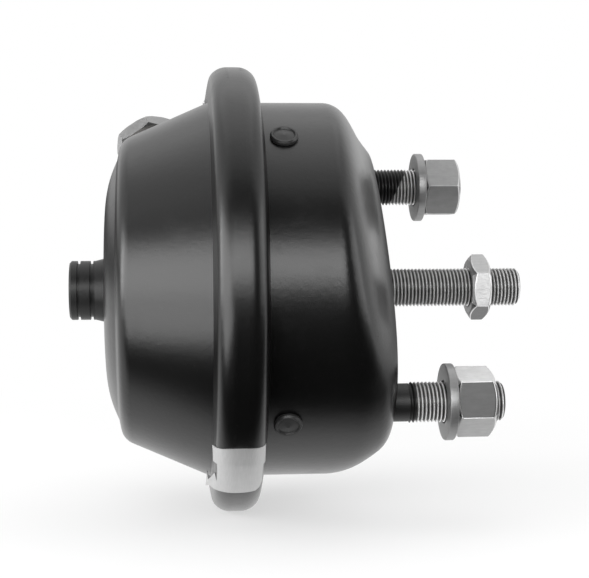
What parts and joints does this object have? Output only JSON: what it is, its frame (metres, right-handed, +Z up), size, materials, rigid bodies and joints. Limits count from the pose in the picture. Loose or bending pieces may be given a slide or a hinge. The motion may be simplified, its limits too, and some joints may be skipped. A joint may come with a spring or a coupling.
{
  "type": "air brake chamber",
  "caption": "Diaphragm air brake chamber: two pressed steel housings in a clamp ring, a sprung threaded push rod, mounting studs with nuts and two air ports.",
  "frame": {"origin": "centre of the mounting face, where the push rod comes out", "axes": "+X along the push rod's way out, +Z up, +Y to the back; the studs lie on a line at 45 degrees between +Y and +Z"},
  "size_m": [0.1861, 0.1816, 0.1816],
  "materials": {
    "black_paint": "satin black paint over pressed steel",
    "stud_steel": "zinc-phosphated thread",
    "zinc_steel": "dull grey zinc plate",
    "plug_steel": "bright zinc plate",
    "spring_steel": "oiled spring steel",
    "tag_aluminium": "bare rolled aluminium strip",
    "diaphragm_rubber": "fabric-reinforced rubber",
    "black_plastic": "moulded black plastic",
    "seal_fibre": "bonded sealing washer"
  },
  "bodies": {
    "chamber": {"pressure_housing": "black_paint", "nonpressure_housing": "black_paint", "centre_port_boss": "black_paint", "side_port_boss": "black_paint", "stiffener_plate": "black_paint", "rod_guide": "black_plastic", "upper_mounting_stud": "stud_steel", "lower_mounting_stud": "stud_steel", "clamp_ring": "black_paint", "clamp_bolt": "zinc_steel", "clamp_nut": "zinc_steel", "identification_tag": "tag_aluminium", "diaphragm": "diaphragm_rubber", "return_spring": "spring_steel"},
    "push_rod": {"push_rod": "stud_steel", "push_plate": "black_paint"},
    "jam_nut": {"jam_nut": "zinc_steel"},
    "upper_washer": {"upper_washer": "zinc_steel"},
    "upper_nut": {"upper_nut": "zinc_steel"},
    "lower_washer": {"lower_washer": "zinc_steel"},
    "lower_nut": {"lower_nut": "zinc_steel"},
    "side_port_seal": {"side_port_seal": "seal_fibre"},
    "side_port_plug": {"side_port_plug": "plug_steel"},
    "port_cap": {"port_cap": "black_plastic"},
    "drain_plug_1": {"drain_plug_1": "black_plastic"},
    "drain_plug_2": {"drain_plug_2": "black_plastic"},
    "drain_plug_3": {"drain_plug_3": "black_plastic"},
    "drain_plug_4": {"drain_plug_4": "black_plastic"}
  },
  "joints": [
    {"name": "push_rod_stroke", "type": "slide", "parent": "chamber", "child": "push_rod", "axis": [1, 0, 0], "range_m": [0, 0.06], "stiffness_N_per_m": 2600, "springref_m": -0.055, "deforming": ["return_spring", "diaphragm"]},
    {"name": "jam_nut_turn", "type": "hinge", "parent": "push_rod", "child": "jam_nut", "pos_m": [0.043, 0, 0], "axis": [1, 0, 0], "continuous": true},
    {"name": "upper_washer_travel", "type": "slide", "parent": "chamber", "child": "upper_washer", "axis": [1, 0, 0], "range_m": [0, 0.0225]},
    {"name": "upper_nut_turn", "type": "hinge", "parent": "upper_washer", "child": "upper_nut", "pos_m": [0.0269, 0.04266, 0.04266], "axis": [1, 0, 0], "range_deg": [0, 5402]},
    {"name": "lower_washer_travel", "type": "slide", "parent": "chamber", "child": "lower_washer", "axis": [1, 0, 0], "range_m": [0, 0.0225]},
    {"name": "lower_nut_turn", "type": "hinge", "parent": "lower_washer", "child": "lower_nut", "pos_m": [0.0239, -0.04266, -0.04266], "axis": [1, 0, 0], "range_deg": [0, 5402]},
    {"name": "side_port_seal_lift", "type": "slide", "parent": "chamber", "child": "side_port_seal", "axis": [-0.4026, 0.4986, 0.7677], "range_m": [0, 0.009]},
    {"name": "side_port_plug_turn", "type": "hinge", "parent": "side_port_seal", "child": "side_port_plug", "pos_m": [-0.09472, 0.04043, 0.06225], "axis": [-0.4026, 0.4986, 0.7677], "range_deg": [0, 2162]},
    {"name": "port_cap_pull", "type": "slide", "parent": "chamber", "child": "port_cap", "axis": [-1, 0, 0], "range_m": [0, 0.06]},
    {"name": "drain_plug_1_pull", "type": "slide", "parent": "chamber", "child": "drain_plug_1", "axis": [0, -0.6225, 0.7826], "range_m": [0, 0.012]},
    {"name": "drain_plug_2_pull", "type": "slide", "parent": "chamber", "child": "drain_plug_2", "axis": [0, 0.7826, 0.6225], "range_m": [0, 0.012]},
    {"name": "drain_plug_3_pull", "type": "slide", "parent": "chamber", "child": "drain_plug_3", "axis": [0, 0.6225, -0.7826], "range_m": [0, 0.012]},
    {"name": "drain_plug_4_pull", "type": "slide", "parent": "chamber", "child": "drain_plug_4", "axis": [0, -0.7826, -0.6225], "range_m": [0, 0.012]}
  ],
  "couplings": [
    {"joint": "upper_nut_turn", "follows": "upper_washer_travel", "rad_per_m": 4188.8},
    {"joint": "lower_nut_turn", "follows": "lower_washer_travel", "rad_per_m": 4188.8},
    {"joint": "side_port_plug_turn", "follows": "side_port_seal_lift", "rad_per_m": 4188.8}
  ]
}
